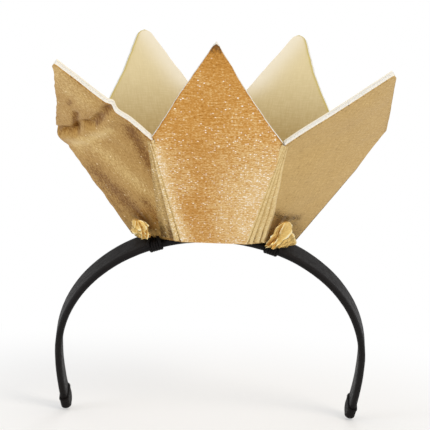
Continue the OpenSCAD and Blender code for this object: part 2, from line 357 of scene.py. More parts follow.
# %% How far the cloth stands out from its solid
PETAL_SWELL = 0.7 * MM
RIPPLE, RIPPLE_SIZE = 0.3 * MM, 16 * MM
RIPPLES = ((RIPPLE, 1.0, 0), (0.4 * RIPPLE, 2.7, 9))            # height, how much finer, place in the noise
HELD_LOW, HELD_HIGH = 6 * MM, 10 * MM                           # the ripples die out over these lengths
TIE_HEIGHT, TIE_REACH, TIE_DEPTH = 7 * MM, 8 * MM, 0.9 * MM     # the dimple where a side petal is tied down
TIE_PUCKERS, TIE_PUCKER = 9, 0.35                               # how many, and their share of the dimple
TIE_HEM = 3 * MM                                                # the hem below the dimple stays straight
SEEDS = {petal: 3.7 * k for k, petal in enumerate(PETALS)}


def swell(petal, u, v):
    """Lift of the cloth along its outward normal at (u, v)."""
    s = min(abs(u) / (half_width(skins[petal], v) + 0.05 * MM), 1.0)
    free = (1 - s ** 6) * soft_step(v / HELD_LOW) * soft_step((cloth_length - v) / HELD_HIGH)
    seed = SEEDS[petal]
    lift = PETAL_SWELL * (1 - s * s) * math.sin(math.pi * v / cloth_length)
    for height, finer, shift in RIPPLES:
        lift += height * free * noise.noise(Vector((finer * u / RIPPLE_SIZE, finer * v / RIPPLE_SIZE, seed + shift)))
    if petal == "left":
        lift += crease(u, v)
    if petal in ("left", "right"):
        reach, turn = math.hypot(u, v - TIE_HEIGHT), math.atan2(v - TIE_HEIGHT, u)
        pucker = TIE_PUCKER * math.cos(TIE_PUCKERS * turn + seed) * min(reach / TIE_REACH, 1.0)
        lift += TIE_DEPTH * bell(reach, TIE_REACH) * soft_step(v / TIE_HEM) * (pucker - 1)
    return lift


print("swell in the front petal's middle, in mm:", round(swell("front", 0.0, cloth_length / 2) / MM, 2))

# %% [markdown]
# ### From points to a piece
# Each layer becomes one closed mesh. A flat sheet with a solidify modifier would have the same walls everywhere, but a
# laminate's layers are mitred at the seams, so both faces are drawn: a ring of points round the layer at each height,
# joined ring to ring, with strips across the bottom and the tip. Each point keeps its place on the cloth, in metres, as
# a texture coordinate, so that patterns can be given in real sizes.

# %% Faces between rings


def rings_to_faces(rows, count, strips=False):
    """Faces between rows of count points each; the two ends are closed by one face or by strips across."""
    faces = []
    for k in range(rows - 1):
        for i in range(count):
            j = (i + 1) % count
            faces.append((k * count + i, k * count + j, (k + 1) * count + j, (k + 1) * count + i))
    ends = [tuple(range(count))]
    if strips:
        ends = [(i, i + 1, count - 2 - i, count - 1 - i) for i in range(count // 2 - 1)]
    for end in ends:
        faces += [end[::-1], tuple((rows - 1) * count + i for i in end)]
    return faces


print("faces of a box made of two rings:", len(rings_to_faces(2, 4)))

# %% A finished piece
DEGREES_SHARP = 35


def face_outwards(mesh):
    build = bmesh.new()
    build.from_mesh(mesh)
    bmesh.ops.recalc_face_normals(build, faces=build.faces)
    build.to_mesh(mesh)
    build.free()


def add_piece(name, points, faces, node, slot, material, cloth, marked=None):
    """A smooth mesh with cloth coordinates, marks on the cloth and a material, in the place of a node."""
    mesh = bpy.data.meshes.new(name)
    mesh.from_pydata([tuple(p) for p in points], [], faces)
    face_outwards(mesh)
    layer = mesh.uv_layers.new(name="cloth")
    for loop in mesh.loops:
        layer.data[loop.index].uv = cloth[loop.vertex_index]
    for k, mark in enumerate(("shade", "lit") if marked else ()):
        mesh.attributes.new(mark, "FLOAT", "POINT").data.foreach_set("value", [m[k] for m in marked])
    mesh.materials.append(material)
    piece = bpy.data.objects.new(name, mesh)
    scene.collection.objects.link(piece)
    mesh.set_sharp_from_angle(angle=math.radians(DEGREES_SHARP))
    for polygon in mesh.polygons:
        polygon.use_smooth = True
    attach(piece, "root")
    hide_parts(node)
    return piece


print("edges sharper than", DEGREES_SHARP, "degrees stay crisp")

# %% [markdown]
# ### Gold lame
# Lame is a thin woven cloth with flat metal thread. On the right and back petals it is pressed smooth and shows only
# its grain. On the front petal it is crushed into small level crinkles, with painted glints and a painted highlight,
# most of all low on the right, and the left petal is creased, with painted shade in its folds. One plain metal would
# look like foil. So several noises of real sizes are added up to a brightness, together with the painted highlight and
# shade, and the brightness picks one of four tones and raises the surface.

# %% Patterns on the cloth
CRINKLE_MM = (4.5, 1.1)
DRIFT_MM, DRIFT = (13.0, 13.0), 0.25     # slow changes over the whole petal, and their strength
FLAKE_MM = (0.85, 0.6)       # flat metal threads are near 0.3 mm wide; drawn coarser so that they show
THREAD_MM = (0.55, 5.0)      # the woven threads are near 0.2 mm; drawn coarser so that they show
DETAIL, ROUGH = 3.0, 0.55    # a noise's finer steps, and how strong they are
NOISE_RANGE = (0.3, 0.7)     # nearly all of a noise lies between these values
SHADE_DARK = 0.4             # how much less bright the painted shade makes the cloth
TIMES, TIMES_PLUS, MINUS = ({"operation": name} for name in ("MULTIPLY", "MULTIPLY_ADD", "SUBTRACT"))


def on_cloth(tree, size_mm):
    """Cloth coordinates in which one unit is size_mm across and along."""
    scale = (1 / (size_mm[0] * MM), 1 / (size_mm[1] * MM), 1)
    return add(tree, "Mapping", add(tree, "UVMap", uv_map="cloth"), Scale=scale)


def lame_brightness(tree, lit, shade, glow, patterns):
    """0.5, and more where the cloth is lit, less where it is in shade, and up and down with each pattern."""
    bright = add(tree, "Math", lit, glow, 0.5, **TIMES_PLUS)
    for pattern, strength in patterns:
        bright = add(tree, "Math", add(tree, "Math", pattern, 0.5, **MINUS), strength, bright, **TIMES_PLUS)
    return add(tree, "Math", shade, -SHADE_DARK, bright, **TIMES_PLUS)


print("crinkles in mm:", CRINKLE_MM, "threads in mm:", THREAD_MM)

# %% Painted glints of flakes, and painted shade in the creases
FLAKE_EDGE = (0.6, 0.3)                     # from a flake's middle: where it ends, and where it is whole
FLASH_LEAST = 0.3                           # the dullest flash beside the brightest
SPECK_ROUGH, SPECK_CONTRAST = 0.75, 2.4
SPECK_STEPS = (0.35, 0.9)                   # shade and speck together at which the dark specks start and are whole
SHADE_ONSET = (0.02, 0.25)                  # shade at which the painted shade and dirt start to show at all


def painted_glints(tree, lit, glints):
    """Painted glints on spots of metal thread; glints are their shares where the cloth is plain and where it is lit."""
    flake = add(tree, "TexVoronoi", on_cloth(tree, FLAKE_MM), Scale=1.0)
    pick = add(tree, "SeparateColor", flake.outputs["Color"]).outputs
    rare = add(tree, "Math", lit, -glints[1], 1 - glints[0], **TIMES_PLUS)
    spot = add(tree, "MapRange", flake.outputs["Distance"], *FLAKE_EDGE, **SMOOTH)
    flash = add(tree, "Math", add(tree, "Math", pick[0], rare, operation="GREATER_THAN"), spot, **TIMES)
    return add(tree, "Math", flash, add(tree, "MapRange", pick[1], 0.0, 1.0, FLASH_LEAST, **SMOOTH), **TIMES)


def shade_and_soil_specks(tree, shade, size_mm):
    """Painted shade in creases and folds, with some dirt, broken into specks of the given size."""
    speck = add(tree, "TexNoise", on_cloth(tree, size_mm), 1.0, DETAIL, SPECK_ROUGH)
    broken = add(tree, "Math", add(tree, "Math", speck, 0.5, **MINUS), SPECK_CONTRAST, shade, **TIMES_PLUS)
    broken = add(tree, "MapRange", broken, *SPECK_STEPS, **SMOOTH)
    return add(tree, "Math", broken, add(tree, "MapRange", shade, *SHADE_ONSET, **SMOOTH), **TIMES)


print("flakes in mm:", FLAKE_MM)

# %% Lame materials
TONE_STEPS = ((0.22, 0.5), (0.5, 0.76), (0.8, 0.98))     # brightness at which each tone turns into the next
GRAIN_ROUGH, CRINKLE_ROUGH = 0.7, 0.65
LAME_BUMP, GLOSS_CHANGE = 0.3 * MM, 0.08                 # depth of the relief, and how far the roughness varies
MIX = {"data_type": "RGBA"}                              # settings of a mix of two colours


def lame(name, tones, grain_mm, contrast, glow=0.0, crinkle=0.0, glints=(0.0, 0.0), threads=(0.3, 0.3),
         soil_and_shade="#74502a", shade_speck_mm=(1.1, 1.1), shine=0.55, rough=0.42):
    """Metal-thread cloth in four tones from dark to glint. Contrast, crinkle and threads are the patterns' strengths,
    glow is how much paler the painted highlight makes the cloth, the dark mixed tone is painted shade with some dirt,
    and shine is the share of metal in the threads."""
    material, tree = new_material(name)
    lit, shade = (add(tree, "Attribute", attribute_name=mark).outputs["Fac"] for mark in ("lit", "shade"))
    sizes = ((grain_mm, GRAIN_ROUGH, contrast), (CRINKLE_MM, CRINKLE_ROUGH, crinkle), (DRIFT_MM, ROUGH, DRIFT),
             (THREAD_MM, ROUGH, threads[0]), (THREAD_MM[::-1], ROUGH, threads[1]))
    patterns = [(add(tree, "TexNoise", on_cloth(tree, size), 1.0, DETAIL, fine), strength)
                for size, fine, strength in sizes if strength]
    bright = lame_brightness(tree, lit, shade, glow, patterns)
    colour = linear(tones[0])
    for tone, (low, high) in zip(tones[1:], TONE_STEPS):
        colour = add(tree, "Mix", add(tree, "MapRange", bright, low, high, **SMOOTH), colour, linear(tone), **MIX)
    if max(glints):
        colour = add(tree, "Mix", painted_glints(tree, lit, glints), colour, linear(tones[-1]), **MIX)
    colour = add(tree, "Mix", shade_and_soil_specks(tree, shade, shade_speck_mm), colour, linear(soil_and_shade), **MIX)
    bump = add(tree, "Bump", Height=bright, Strength=0.45, Distance=LAME_BUMP)
    gloss = add(tree, "MapRange", patterns[0][0], *NOISE_RANGE, rough + GLOSS_CHANGE, rough - GLOSS_CHANGE, **SMOOTH)
    add(tree, "OutputMaterial", add(tree, "BsdfPrincipled", Base_Color=colour, Metallic=shine, Roughness=gloss,
                                    Specular_IOR_Level=0.2, Normal=bump))
    return material


SMOOTH_TONES = ("#b3925a", "#c5a469", "#d3b478", "#e6cb92")
PRESSED = {"tones": SMOOTH_TONES, "grain_mm": (0.9, 0.9), "contrast": 0.8, "threads": (0.6, 0.6)}
LAME = {
    # crushed: orange gold in level crinkles, with painted white glints and painted highlights low right and by the
    # seams
    "front": lame("gold_lame_crushed", ("#a56d25", "#c68f45", "#e4c287", "#fff8ea"), (1.1, 0.6), 1.15, 0.33, 0.42,
                  (0.035, 0.36), (0.12, 0.4)),
    # creased: dull brown gold streaked along the threads, dark specks of painted shade in the folds, painted highlights
    "left": lame("gold_lame_creased", ("#875c20", "#b68f50", "#d6b677", "#f8e6bc"), (0.9, 1.1), 0.7, 0.3,
                 glints=(0.008, 0.05), threads=(0.5, 0.2), soil_and_shade="#714510", shade_speck_mm=(0.8, 1.8)),
    # pressed smooth: an even, pale gold with a fine grain; the right one has dark specks of painted shade by its tie
    "right": lame("gold_lame_smooth_right", soil_and_shade="#4d3814", shade_speck_mm=(1.1, 0.6), **PRESSED),
    "back_left": lame("gold_lame_smooth_back_left", **PRESSED),
    "back_right": lame("gold_lame_smooth_back_right", **PRESSED),
}
print("lame:", [m.name for m in LAME.values()])

# %% [markdown]
# ### Lining and foam
# The lining is a pale champagne satin with painted light: paler toward the points, darker low down, and paler still
# where a painted highlight falls on a back petal's inner side. It has faint streaks along its threads. The foam is
# cream, with small pores, and only its cut edge shows. Both could be plain colours at this size, but the lining fills
# two petals in the picture, and the foam's edge draws a line round all five.

# %% Lining
LIGHT_FALL_MM = (40, 92)                    # painted light: dark low, pale high, between these heights
STREAK_MM, STREAK = (1.6, 14), 0.16   # paler and darker streaks along the threads, and their strength
WEAVE_SHOWN = 0.13                    # how much paler the threads are
# woven satin: soft, almost shineless, with painted light paler toward the points and darker low down, a painted
# highlight on the back petals' inner sides, and a yellow selvage on the back petals
lining_satin, tree = new_material("champagne_woven_satin")
height = add(tree, "SeparateXYZ", on_cloth(tree, (1.0, 1.0))).outputs["Y"]
streak = add(tree, "TexNoise", on_cloth(tree, STREAK_MM), 1.0, DETAIL, ROUGH)
warp, weft = (add(tree, "TexNoise", on_cloth(tree, size), 1.0, 2.0, ROUGH) for size in (THREAD_MM, THREAD_MM[::-1]))
weave = add(tree, "Math", warp, weft, **TIMES)
lightened = add(tree, "MapRange", height, *LIGHT_FALL_MM, **SMOOTH)
lightened = add(tree, "Math", add(tree, "Math", streak, 0.5, **MINUS), STREAK, lightened, **TIMES_PLUS)
threads = add(tree, "MapRange", weave, 0.15, 0.4, 0.0, WEAVE_SHOWN, **SMOOTH)
inner_highlight, selvage = (add(tree, "Attribute", attribute_name=mark).outputs["Fac"] for mark in ("lit", "shade"))
# painted light by height along the cloth, then the threads, a painted highlight on the back petals' inner sides, the
# selvage
colour = linear("#997c38")
for share, tone in ((lightened, "#d8c89a"), (threads, "#f4e6c0"), (inner_highlight, "#efe8d6"), (selvage, "#b9a640")):
    colour = add(tree, "Mix", share, colour, linear(tone), **MIX)
bump = add(tree, "Bump", Height=weave, Strength=0.25, Distance=0.2 * MM)
add(tree, "OutputMaterial", add(tree, "BsdfPrincipled", Base_Color=colour, Roughness=0.55, Sheen_Weight=0.2,
                                Normal=bump))
print(lining_satin.name, "nodes:", len(tree.nodes))

# %% Foam
PORE_MM = 0.7
# cut foam: matt and pitted, with a little light passing through it
cut_foam, tree = new_material("cream_cut_foam")
spot = add(tree, "VectorMath", add(tree, "NewGeometry"), Scale=1 / (PORE_MM * MM), operation="SCALE")
pore = add(tree, "TexVoronoi", spot, Scale=1.0)
colour = add(tree, "Mix", add(tree, "MapRange", pore, 0.1, 0.5, **SMOOTH), linear("#d6d1c5"), linear("#e8e5dc"), **MIX)
bump = add(tree, "Bump", Height=pore, Strength=0.5, Distance=0.3 * MM)
add(tree, "OutputMaterial", add(tree, "BsdfPrincipled", Base_Color=colour, Roughness=0.95, Subsurface_Weight=0.15,
                                Subsurface_Radius=(0.8 * MM, 0.7 * MM, 0.5 * MM), Normal=bump))
print(cut_foam.name, "nodes:", len(tree.nodes))

# %% [markdown]
# ### Painted shade and light on the cloth
# Creases and folds get painted shade, the lame gets painted highlights where the light would fall brightest, and the
# free cut edges are drawn darker. A noise can't put such marks where they belong. So a few soft strokes are laid on the
# cloth, in millimetres across and along, and stored at the mesh's points as two values, shade and lit, which the
# materials read.

# %% Strokes of painted shade and painted highlight: from, to, half width, strength
SHADE_STROKES = {
    "left": [((15, 80), (1, 68), 1.9, 0.52), ((1, 68), (-6, 66.5), 1.6, 0.4), ((-8, 72), (-14, 62), 1.9, 0.54),
             ((-13, 62), (-25, 60), 2.2, 0.42), ((-5.5, 81), (-8, 78.5), 1.4, 0.45), ((19, 66), (20, 34), 4.2, 0.58),
             ((-15, 36), (-4, 16), 6.5, 0.5), ((6, 22), (10, 3), 5.0, 0.52), ((-18, 34), (-13, 8), 2.0, 0.3)],
    "right": [((-9, 19), (-3, 15.5), 3.0, 0.62), ((-3, 15.5), (7, 14), 2.6, 0.62), ((4, 12), (12, 6), 4.0, 0.38)],
}
LIT_STROKES = {
    "front": [((-22, 58), (-12, 36), 8.0, 0.3)],
    "left": [((-2, 99), (2, 84), 8.0, 0.4), ((-18, 53), (-8, 57), 3.4, 0.9), ((-8, 57), (7, 65), 3.0, 0.75),
             ((-6, 52), (6, 34), 6.0, 0.45), ((6, 34), (11, 16), 5.0, 0.5)],
}


def strongest(strokes, u, v):
    """The strongest of some soft strokes at (u, v)."""
    found, at = 0.0, np.array([u, v]) / MM
    for start, end, half, strength in strokes:
        a, run = np.array(start, float), np.array(end, float) - np.array(start, float)
        gap = at - a - min(max((at - a) @ run / (run @ run), 0.0), 1.0) * run
        found = max(found, strength * math.exp(-(gap @ gap) / half ** 2))
    return found


print("strokes:", {petal: len(lines) for petal, lines in SHADE_STROKES.items()})

# %% Marks on lame and lining
RIM, OUTER_RIM = (0.4, 0.5 * MM), (0.65, 0.8 * MM)     # how dark a raw edge is, and over what width
SEAM_SIDES = {"front": (-1, 1), "left": (1,), "right": (-1,), "back_left": (), "back_right": ()}
# the front petal: darker toward its point (how much, from where, over what length), a painted highlight
# low on the right (how much, from where across and along, over what lengths), and painted highlights along its
# seams (side, how much)
TIP_SHADES = ((0.3, 16 * MM, 14 * MM), (0.6, 5 * MM, 5 * MM))
SHEEN, SHEEN_FROM, SHEEN_OVER = 0.78, (-14 * MM, 88 * MM), (30 * MM, 64 * MM)
SEAM_GLOW, SEAM_GLOW_HALF, SEAM_GLOW_END = ((1, 0.9), (-1, 0.5)), 4.5 * MM, (3 * MM, 7 * MM)
# the lining: paler along its cut edges, a yellow selvage, and a painted highlight on the inner side above the shoulder
EDGE_PALE, SELVAGE, INNER_LIT = (0.9, 0.6 * MM), (0.8, 0.7 * MM), (0.75, 8 * MM)     # how much, and half width
INNER_LIT_FROM, INNER_LIT_OVER = 4 * MM, 16 * MM
# which side of a back petal is the outer one, seen along its cloth
OUTWARD = {petal: int(math.copysign(1, skins[petal].across[0] * cloth_row(skins[petal], 0)[0][0]))
           for petal in PETALS[3:]}


def lame_marks(petal, u, v):
    """How much painted shade, with the darker cut edges, and how much painted highlight the lame has at (u, v), each
    from 0 to 1.
    """
    half = half_width(skins[petal], v)
    shade, lit = (strongest(strokes.get(petal, ()), u, v) for strokes in (SHADE_STROKES, LIT_STROKES))
    # the front petal: darker toward its point, with painted highlights low on the right and along its seams
    if petal == "front":
        top = cloth_length - v
        shade = sum(dark * soft_step((start - top) / over) for dark, start, over in TIP_SHADES)
        low_right = SHEEN * soft_step((u - SHEEN_FROM[0]) / SHEEN_OVER[0])
        low_right *= soft_step((SHEEN_FROM[1] - v) / SHEEN_OVER[1])
        by_seam = max(share * bell(half + side * u, SEAM_GLOW_HALF) for side, share in SEAM_GLOW)
        by_seam *= soft_step((shoulder + SEAM_GLOW_END[0] - v) / SEAM_GLOW_END[1])
        lit = max(lit, low_right, by_seam)
    sewn = v < shoulder and math.copysign(1, u) in SEAM_SIDES[petal]
    dark, reach = OUTER_RIM if petal == "right" and u > 0 and v < shoulder else RIM
    rim = 0.0 if sewn else dark * bell(half - abs(u), reach)
    return min(max(shade, rim), 1.0), min(lit, 1.0)


def lining_marks(petal, u, v, wide):
    """How yellow the selvage is and how pale the satin is, each from 0 to 1; wide is the way to its two edges.
    On a back petal the paleness is a painted highlight on its inner side; elsewhere it runs along the cut edges.
    """
    if petal not in OUTWARD:
        return 0.0, EDGE_PALE[0] * bell(min(wide[0] + u, wide[1] - u), EDGE_PALE[1])
    side = OUTWARD[petal]
    to_outer, to_inner = wide[side > 0] - side * u, wide[side < 0] + side * u
    high = soft_step((v - shoulder - INNER_LIT_FROM) / INNER_LIT_OVER)
    return SELVAGE[0] * bell(to_outer, SELVAGE[1]), INNER_LIT[0] * bell(to_inner, INNER_LIT[1]) * high


print("shade and lit low on the front petal:", [round(m, 2) for m in lame_marks("front", 10 * MM, 10 * MM)])

# %% [markdown]
# ### Cut edges
# Each petal was cut with scissors, and no two are alike: three points lean to one side, the left petal has a small
# notch, the right one a blunter corner, and the back ones are slimmer on their outer side. A random wobble alone would
# look frayed all over, so the wobble is small and the cuts are given one by one. A sewn edge stays straight.

# %% How far a cut runs off the plain outline
EDGE_WOBBLE = {"front": 0.4, "left": 0.6, "right": 0.12, "back_left": 0.35, "back_right": 0.35}     # mm
FREE_FROM, FREE_OVER, FREE_TIP = 8 * MM, 8 * MM, 5 * MM     # an unsewn edge starts to wander, and stops at the tip
WANDER = ((7 * MM, 1.0, 0), (2.4 * MM, 0.6, 5))             # length, share and place in the noise
CUT_BACK = 0.6                                              # share of the wobble that is lost everywhere
LEFT_TRIM, LEFT_TRIM_FROM, LEFT_TRIM_OVER = 0.4 * MM, -2 * MM, 14 * MM     # depth, from the shoulder, over
LEFT_NOTCH = (51 * MM, 1.0 * MM)     # place along the cloth, and depth
# the right petal's outer corner: mm along the cloth, and mm past the plain outline
RIGHT_CORNER = np.array([(42, 0), (50, -1.0), (60, -2.9), (63, -1.3), (66.5, 0.9), (72, 0.6), (85, 0)]).T * MM
BACK_TRIM = {"back_left": 1.8 * MM, "back_right": 2.6 * MM}
BACK_TRIM_FROM, BACK_TRIM_OVER, BACK_TRIM_TIP = 30 * MM, 22 * MM, 24 * MM


def edge_cut(petal, side, v, loose):
    """The scissors' wander along a free edge, and each petal's own cuts; loose is a layer's share of the fraying."""
    start = shoulder if side in SEAM_SIDES[petal] else FREE_FROM
    free = soft_step((v - start) / FREE_OVER) * soft_step((cloth_length - v) / FREE_TIP)
    seed = SEEDS[petal] + 20 * side
    wander = sum(share * noise.noise(Vector((v / length, seed, place))) for length, share, place in WANDER)
    cut = loose * free * EDGE_WOBBLE[petal] * MM * (wander - CUT_BACK)
    if petal == "left" and side < 0:
        cut -= LEFT_TRIM * free * soft_step((v - shoulder - LEFT_TRIM_FROM) / LEFT_TRIM_OVER)
        cut -= LEFT_NOTCH[1] * bell(v - LEFT_NOTCH[0], MM)
    if petal == "right" and side > 0:
        cut += float(np.interp(v, *RIGHT_CORNER))
    if side == OUTWARD.get(petal):
        high = soft_step((v - BACK_TRIM_FROM) / BACK_TRIM_OVER) * soft_step((cloth_length - v) / BACK_TRIM_TIP)
        cut -= BACK_TRIM[petal] * high
    return cut


print("cut at the left petal's notch, in mm:", round(edge_cut("left", -1, LEFT_NOTCH[0], 1.0) / MM, 2))

# %% Rows of one layer
LAYERS = {"skin": (56, 0.0, 1.0), "foam": (40, 0.25 * MM, 0.6), "lining": (40, 0.0, 0.6)}     # points, bulge, fraying
SWAY = {"front": -2.0 * MM, "left": 2.0 * MM, "right": 2.2 * MM}     # how far a point leans to one side
SWAY_FROM, SWAY_LENGTH = 50 * MM, 36 * MM
LEAST_HALF = 0.12 * MM
TIP_ROUND = 0.8               # radius of a petal's rounded tip, as a share of its half width there
EDGE_DEPTHS = (0.3, 0.7)      # where between its faces the foam bulges out


def layer_ring(petal, layer, place, v):
    """One ring of a layer at v: its points with their places across the cloth, and the way to its two edges."""
    across, bulge, loose = LAYERS[layer]
    at = min(v * place.cloth[-1] / cloth_length, place.cloth[-1])
    tip = TIP_ROUND * skins[petal].half[-1, 0]
    over = max(v - (cloth_length - tip), 0.0)
    blunt = tip - math.sqrt(max(tip * tip - over * over, 0.0))
    sway = SWAY.get(petal, 0.0) * soft_step((v - SWAY_FROM) / SWAY_LENGTH)
    faces = []
    for face in (0, 1):
        half = max(half_width(place, at, face) - blunt, LEAST_HALF)
        wide = [half + edge_cut(petal, side, v, loose) for side in (-1, 1)]
        spread = [s * (wide[0] if s < 0 else wide[1]) for s in np.linspace(-1, 1, across)]
        middle, normal = cloth_row(place, at, face)
        faces.append([(u, middle + place.across * (u + sway) + normal * swell(petal, u, v)) for u in spread])
    outer, back = faces
    if not bulge:
        return outer + back[::-1], wide

    def round_edge(end, depth):
        (u, a), (_, b) = outer[end], back[end]
        return u, a * (1 - depth) + b * depth + place.across * math.copysign(bulge, u)

    near, far = ([round_edge(end, depth) for depth in EDGE_DEPTHS] for end in (0, -1))
    return near[:1] + outer + far + back[::-1] + near[1:], wide


print("points in a ring of skin:", len(layer_ring("front", "skin", front, shoulder)[0]))

# %% Petal pieces
ROWS_LOW, ROWS_HIGH = 66, 52     # rings below and above the shoulder
heights = np.concatenate([np.linspace(0, shoulder, ROWS_LOW, endpoint=False),
                          np.linspace(shoulder, cloth_length, ROWS_HIGH)])


def dress_layer(petal, layer, place, material, slot):
    points, cloth, marked = [], [], []
    for v in heights:
        ring, wide = layer_ring(petal, layer, place, v)
        points += [point for _, point in ring]
        cloth += [(u, v) for u, _ in ring]
        if layer == "skin":
            marked += [lame_marks(petal, u, v) for u, _ in ring]
        if layer == "lining":
            marked += [lining_marks(petal, u, v, wide) for u, _ in ring]
    faces = rings_to_faces(len(heights), len(points) // len(heights), strips=True)
    return add_piece(f"{petal}_{layer}", points, faces, f"{petal}_panel_{layer}", slot, material, cloth, marked)


for petal in PETALS:
    for layer, material, slot in (("skin", LAME[petal], "gold_lame"), ("foam", cut_foam, "foam"),
                                  ("lining", lining_satin, "lining")):
        place = read_layer(f"{petal}_panel_{layer}")
        dress_layer(petal, layer, place, material, slot)

# %% [markdown]
# ### Pleats along the front seams
# The lame of the side petals is wider than the seam it is sewn into. The spare cloth lies in folds that are widest at
# the bottom and run out at the shoulders. Lines in the material could stand for them, but a fold throws a real shadow.
# So one curve across the pleat, through chosen heights, is repeated up the seam and made narrower with each row. The
# first fold laps round the corner on to the front petal. The valleys also get painted shade and the crests painted
# highlights.

# %% The folds' curve
FOLDS = {  # across the pleat from the seam, and height, as shares of the pleat's width and rise
    "right": [(0.0, 0.12), (0.02, 0.5), (0.06, 0.85), (0.11, 0.95), (0.15, 0.8), (0.17, 0.3), (0.205, 0.08),
              (0.25, 0.2), (0.34, 0.38), (0.44, 0.54), (0.5, 0.66), (0.535, 0.45), (0.555, 0.1), (0.6, 0.16),
              (0.66, 0.62), (0.73, 0.98), (0.81, 0.95), (0.9, 0.6), (0.96, 0.25), (1.0, 0.03)],
    "left": [(0.0, 0.1), (0.03, 0.5), (0.1, 0.85), (0.2, 0.9), (0.27, 0.6), (0.29, 0.25), (0.36, 0.1),
             (0.5, 0.14), (0.62, 0.24), (0.74, 0.14), (0.88, 0.08), (1.0, 0.03)],
}
FOLD_STEPS = 4     # points between two of these


def smooth_curve(controls):
    """A curve through the control points, as an array."""
    c = np.array([controls[0]] + list(controls) + [controls[-1]], float)
    spots = []
    for a, b, d, e in zip(c[:-3], c[1:-2], c[2:-1], c[3:]):
        for t in np.linspace(0, 1, FOLD_STEPS, endpoint=False):
            spots.append(0.5 * (2 * b + (d - a) * t + (2 * a - 5 * b + 4 * d - e) * t ** 2
                                + (3 * b - 3 * d + e - a) * t ** 3))
    return np.array(spots + [c[-2]])


print("points across the pleats:", {side: len(smooth_curve(folds)) for side, folds in FOLDS.items()})

# %% Lame of the pleats
PLEAT_LAME = {
    # pleated: painted highlights and glints on the crests, over valleys with painted shade
    "left": lame("gold_lame_pleated_left", ("#a4844e", "#c5a468", "#e2c58a", "#fff5de"), (1.0, 0.7), 1.6, 0.24, 0.3,
                 (0.03, 0.3), soil_and_shade="#6e5128"),
    # pleated: the pressed cloth again, with painted highlights on its crests and painted shade in its valleys
    "right": lame("gold_lame_pleated_right", ("#a98a52", "#c9aa6e", "#e6cd96", "#fbf0cf"), (0.9, 0.9), 0.6, 0.2,
                  glints=(0.0, 0.05), soil_and_shade="#7a6034"),
}
PLEAT_SHADE = {"left": 0.34, "right": 0.22}     # how dark the painted shade in the valleys is, away from the hem
HEM_SHADE, HEM_FROM, HEM_OVER = 0.9, 16 * MM, 14 * MM     # and at the hem, from what height down
# painted highlight on the crests; painted shade on the underside
CREST_LIT, UNDERSIDE = 0.9, (0.8, 0.0)
VALLEY_TOP = 0.5                                          # share of the height below which a valley gets painted shade
print("pleats:", [m.name for m in PLEAT_LAME.values()])

# %% One row of a pleat
PLEAT_GAP = 0.04 * MM
PLEAT_LAP = 1.1 * MM                               # how far the first fold reaches round the corner
LAP_SHARES = (1.0, 0.75, 0.5, 0.25)
LAP_FALL, LAP_FALL_HIGH = 0.68 * MM, 0.35 * MM     # drop to the front petal there, and more near the shoulder
PLEAT_TAPER = 0.85                                 # share of the width that is lost on the way up
SEAM_INSET = 0.15 * MM
HIGH_FROM, HIGH_OVER = 40 * MM, 15 * MM            # where the drop near the shoulder starts
FOLD_WANDER, WANDER_LENGTH, WANDER_FROM = 0.12, 14 * MM, 5 * MM     # the folds' sideways wander, off the hem


def on_petal(petal, node):
    """Extent of a node on a side petal: across, along the cloth, and off its face."""
    skin = skins[petal]
    x, y, z = petal_frame(skin, node_points(node)).T
    reach, rise = skin.spot[1, 0] / np.linalg.norm(skin.spot[1, 0])
    spots = np.stack([x, y * reach + z * rise, y * rise - z * reach], axis=1)
    return spots.min(axis=0), spots.max(axis=0)


def pleat_row(petal, v, foot, wide, tall):
    """The seam's place, and across, height and share of the full height for each point of the pleat at v."""
    side = SEAM_SIDES[petal][0]
    left = 1 - PLEAT_TAPER * (v - foot) / (shoulder - foot)
    edge = side * (half_width(skins[petal], v) - SEAM_INSET)
    sway = FOLD_WANDER * noise.noise(Vector((v / WANDER_LENGTH, 2.0 * side, 1.0)))
    sway *= soft_step((v - foot) / WANDER_FROM)
    profile = smooth_curve(FOLDS[petal])
    start = profile[0][1] * tall * left
    fall = -LAP_FALL - LAP_FALL_HIGH * soft_step((v - HIGH_FROM) / HIGH_OVER) - start
    lap = [(edge + side * PLEAT_LAP * s, start + fall * s ** 1.5, 0.6) for s in LAP_SHARES]
    folds = [(edge - side * across * (1 + sway) * wide * left, height * tall * left, height)
             for across, height in profile]
    return edge, lap + folds


print("right pleats reach, in mm:", np.round(on_petal("right", "right_seam_pleats")[1] / MM, 1))

# %% Pleat pieces
PLEAT_ROWS = 60
PLEAT_FOOT = 2.5 * MM     # height that holds the solid's lowest row of points and no other


